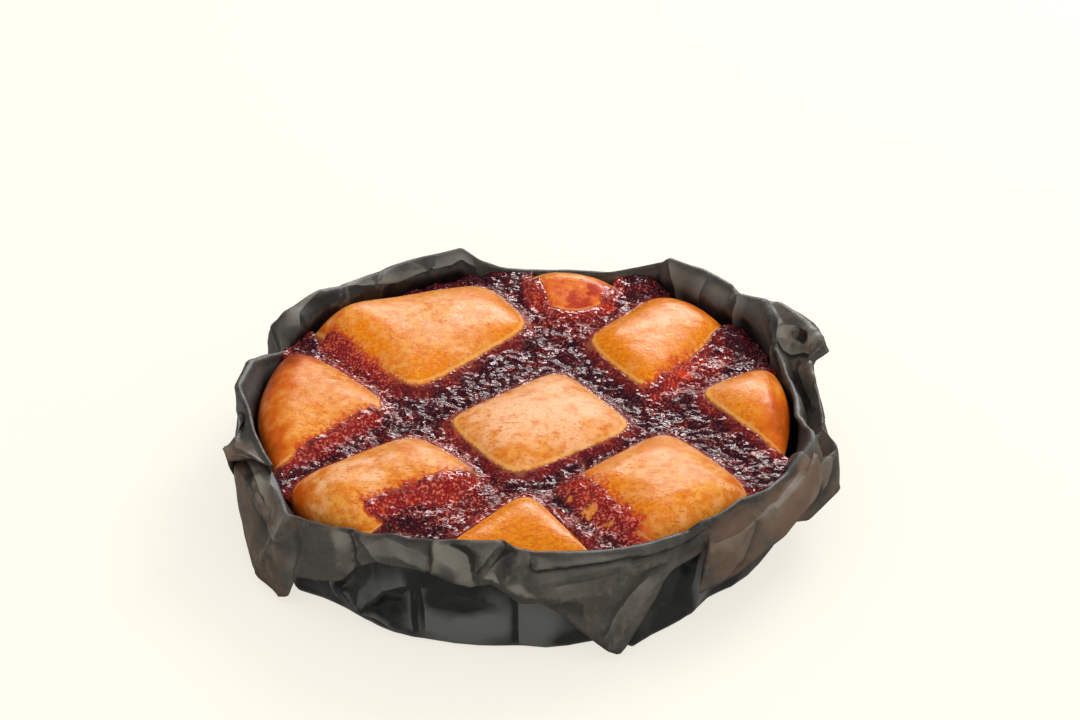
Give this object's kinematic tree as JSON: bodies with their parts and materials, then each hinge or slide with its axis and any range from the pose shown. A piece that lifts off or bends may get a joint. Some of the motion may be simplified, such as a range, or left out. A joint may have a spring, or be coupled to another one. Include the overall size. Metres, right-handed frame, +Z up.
{
  "type": "blueberry tart",
  "caption": "Round lattice-topped tart with puffed golden batter pads and dark berry jam, standing in folded dark baking paper.",
  "frame": {"origin": "bottom centre of the box, on the surface that the tart stands on", "axes": "+Z up; -Y is the side of the paper's large front corner flap, +X is to the right of someone who looks at it"},
  "size_m": [0.2054, 0.2008, 0.0473],
  "materials": {
    "baking_paper": "dark grey-brown baking paper, satin, creased",
    "baked_batter": "golden baked crust with a fine porous grain and a light gloss",
    "berry_jam": "wet dark purple-red jam, lumpy and glossy"
  },
  "bodies": {
    "root": {"paper_case": "baking_paper", "cake": "baked_batter", "jam": "berry_jam"}
  },
  "joints": []
}
